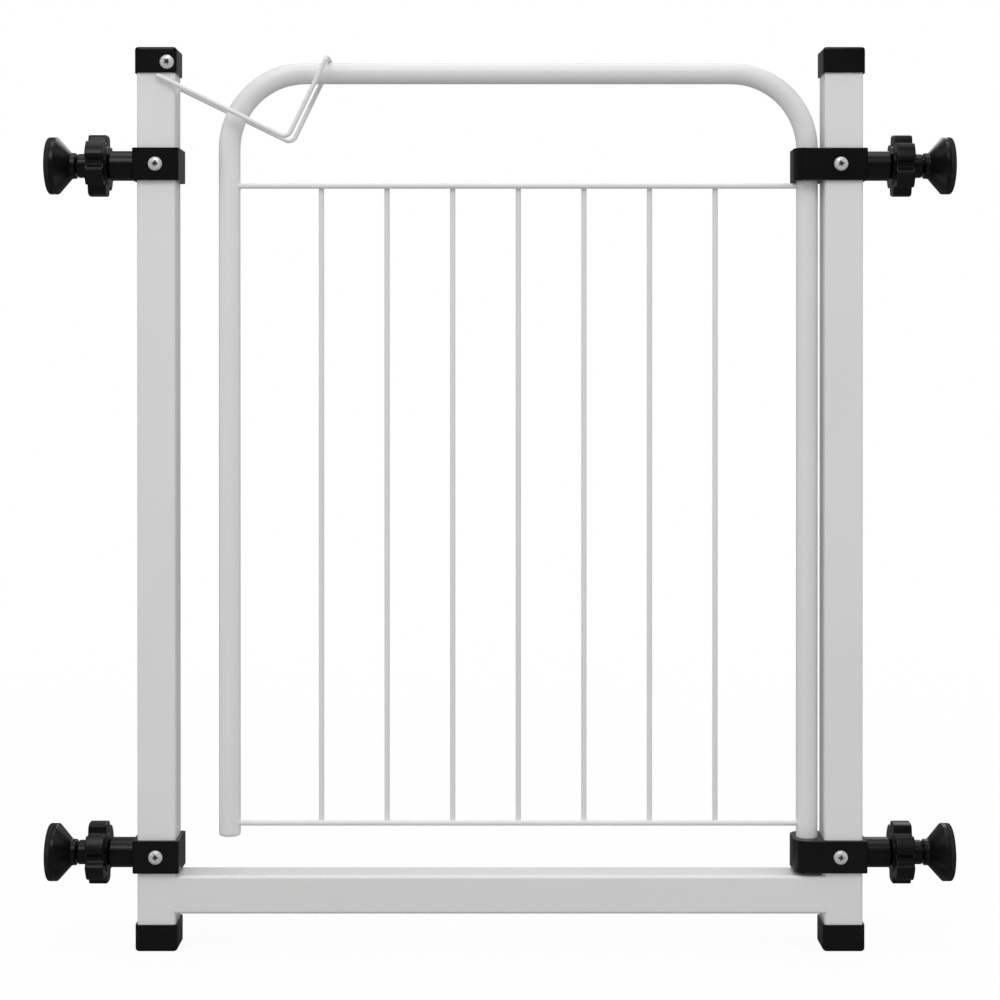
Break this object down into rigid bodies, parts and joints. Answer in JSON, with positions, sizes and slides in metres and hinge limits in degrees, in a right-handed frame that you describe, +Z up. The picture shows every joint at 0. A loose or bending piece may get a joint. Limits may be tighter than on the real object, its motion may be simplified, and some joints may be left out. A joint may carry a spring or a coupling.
{
  "type": "pet gate",
  "caption": "Pressure-fit pet gate with a square-tube frame, a barred door that swings both ways, a lift-up wire latch and screw-out wall cups.",
  "frame": {"origin": "on the floor, midway between the wall pads and midway through the depth", "axes": "+X across the opening from the latch post to the hinge post, +Y from the front (the side with the screws) to the back, +Z up"},
  "size_m": [0.714, 0.0478, 0.71],
  "materials": {
    "white_paint": "gloss",
    "white_plastic": "satin",
    "black_plastic": "satin",
    "pad_rubber": "matte",
    "zinc": "bright zinc"
  },
  "bodies": {
    "frame": {"left_post": "white_paint", "right_post": "white_paint", "bottom_rail": "white_paint", "left_top_cap": "black_plastic", "right_top_cap": "black_plastic", "left_foot_cap": "black_plastic", "right_foot_cap": "black_plastic", "upper_left_bracket": "black_plastic", "lower_left_bracket": "black_plastic", "upper_hinge_bracket": "black_plastic", "lower_hinge_bracket": "black_plastic", "latch_stop_screw": "zinc", "upper_left_bracket_screw": "zinc", "lower_left_bracket_screw": "zinc", "upper_hinge_bracket_screw": "zinc", "lower_hinge_bracket_screw": "zinc"},
    "door": {"door_tube": "white_paint", "top_crossbar": "white_paint", "bottom_crossbar": "white_paint", "bar_1": "white_paint", "bar_2": "white_paint", "bar_3": "white_paint", "bar_4": "white_paint", "bar_5": "white_paint", "bar_6": "white_paint", "bar_7": "white_paint", "door_leg_plug": "white_plastic", "hinge_leg_plug": "white_plastic"},
    "latch": {"latch_loop": "white_paint"},
    "upper_left_adjuster": {"upper_left_spindle": "black_plastic", "upper_left_cup": "black_plastic", "upper_left_wall_pad": "pad_rubber"},
    "upper_left_nut": {"upper_left_hand_nut": "black_plastic"},
    "upper_right_adjuster": {"upper_right_spindle": "black_plastic", "upper_right_cup": "black_plastic", "upper_right_wall_pad": "pad_rubber"},
    "upper_right_nut": {"upper_right_hand_nut": "black_plastic"},
    "lower_left_adjuster": {"lower_left_spindle": "black_plastic", "lower_left_cup": "black_plastic", "lower_left_wall_pad": "pad_rubber"},
    "lower_left_nut": {"lower_left_hand_nut": "black_plastic"},
    "lower_right_adjuster": {"lower_right_spindle": "black_plastic", "lower_right_cup": "black_plastic", "lower_right_wall_pad": "pad_rubber"},
    "lower_right_nut": {"lower_right_hand_nut": "black_plastic"}
  },
  "joints": [
    {"name": "door_swing", "type": "hinge", "parent": "frame", "child": "door", "pos_m": [0.243, 0, 0.618], "axis": [0, 0, 1], "range_deg": [-90, 90]},
    {"name": "latch_lift", "type": "hinge", "parent": "frame", "child": "latch", "pos_m": [-0.2682, 0, 0.6874], "axis": [0, -1, 0], "range_deg": [0, 46]},
    {"name": "upper_left_nut_turn", "type": "hinge", "parent": "frame", "child": "upper_left_nut", "pos_m": [-0.311, 0, 0.618], "axis": [1, 0, 0], "range_deg": [0, 2250]},
    {"name": "upper_left_spindle_slide", "type": "slide", "parent": "frame", "child": "upper_left_adjuster", "axis": [-1, 0, 0], "range_m": [0, 0.025]},
    {"name": "upper_right_nut_turn", "type": "hinge", "parent": "frame", "child": "upper_right_nut", "pos_m": [0.311, 0, 0.618], "axis": [-1, 0, 0], "range_deg": [0, 2250]},
    {"name": "upper_right_spindle_slide", "type": "slide", "parent": "frame", "child": "upper_right_adjuster", "axis": [1, 0, 0], "range_m": [0, 0.025]},
    {"name": "lower_left_nut_turn", "type": "hinge", "parent": "frame", "child": "lower_left_nut", "pos_m": [-0.311, 0, 0.07455], "axis": [1, 0, 0], "range_deg": [0, 2250]},
    {"name": "lower_left_spindle_slide", "type": "slide", "parent": "frame", "child": "lower_left_adjuster", "axis": [-1, 0, 0], "range_m": [0, 0.025]},
    {"name": "lower_right_nut_turn", "type": "hinge", "parent": "frame", "child": "lower_right_nut", "pos_m": [0.311, 0, 0.07455], "axis": [-1, 0, 0], "range_deg": [0, 2250]},
    {"name": "lower_right_spindle_slide", "type": "slide", "parent": "frame", "child": "lower_right_adjuster", "axis": [1, 0, 0], "range_m": [0, 0.025]}
  ],
  "couplings": [
    {"joint": "upper_left_spindle_slide", "follows": "upper_left_nut_turn", "m_per_rad": 0.0006366},
    {"joint": "upper_right_spindle_slide", "follows": "upper_right_nut_turn", "m_per_rad": 0.0006366},
    {"joint": "lower_left_spindle_slide", "follows": "lower_left_nut_turn", "m_per_rad": 0.0006366},
    {"joint": "lower_right_spindle_slide", "follows": "lower_right_nut_turn", "m_per_rad": 0.0006366}
  ]
}
